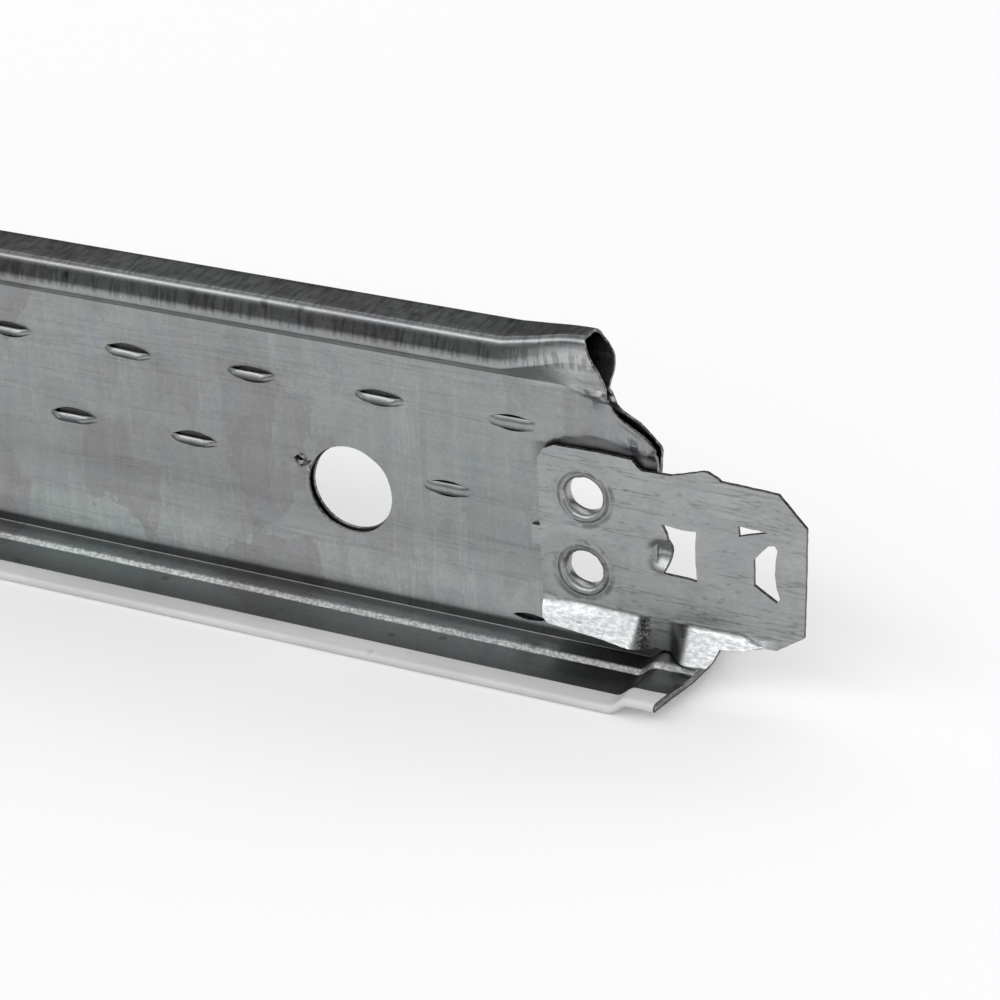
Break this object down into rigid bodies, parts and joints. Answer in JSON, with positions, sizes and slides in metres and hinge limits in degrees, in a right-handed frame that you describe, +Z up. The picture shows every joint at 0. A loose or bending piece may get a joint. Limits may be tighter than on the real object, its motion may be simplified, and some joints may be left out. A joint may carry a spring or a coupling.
{
  "type": "ceiling grid cross tee",
  "caption": "Suspended-ceiling cross tee: folded galvanised steel web with a hollow bulb, a white hemmed face strip and a clinched stab-in clip at each end.",
  "frame": {"origin": "on the floor, below the middle of the tee's length and face", "axes": "+X along the tee towards the pictured end, +Z up from the face to the bulb"},
  "size_m": [0.6226, 0.024, 0.0392],
  "materials": {
    "galvanised_strip": "galvanised, satin",
    "white_cap": "satin",
    "clip_steel": "satin"
  },
  "bodies": {
    "root": {"tee_body": "galvanised_strip", "flange_cap": "white_cap", "end_clip_right": "clip_steel", "end_clip_left": "clip_steel"}
  },
  "joints": []
}
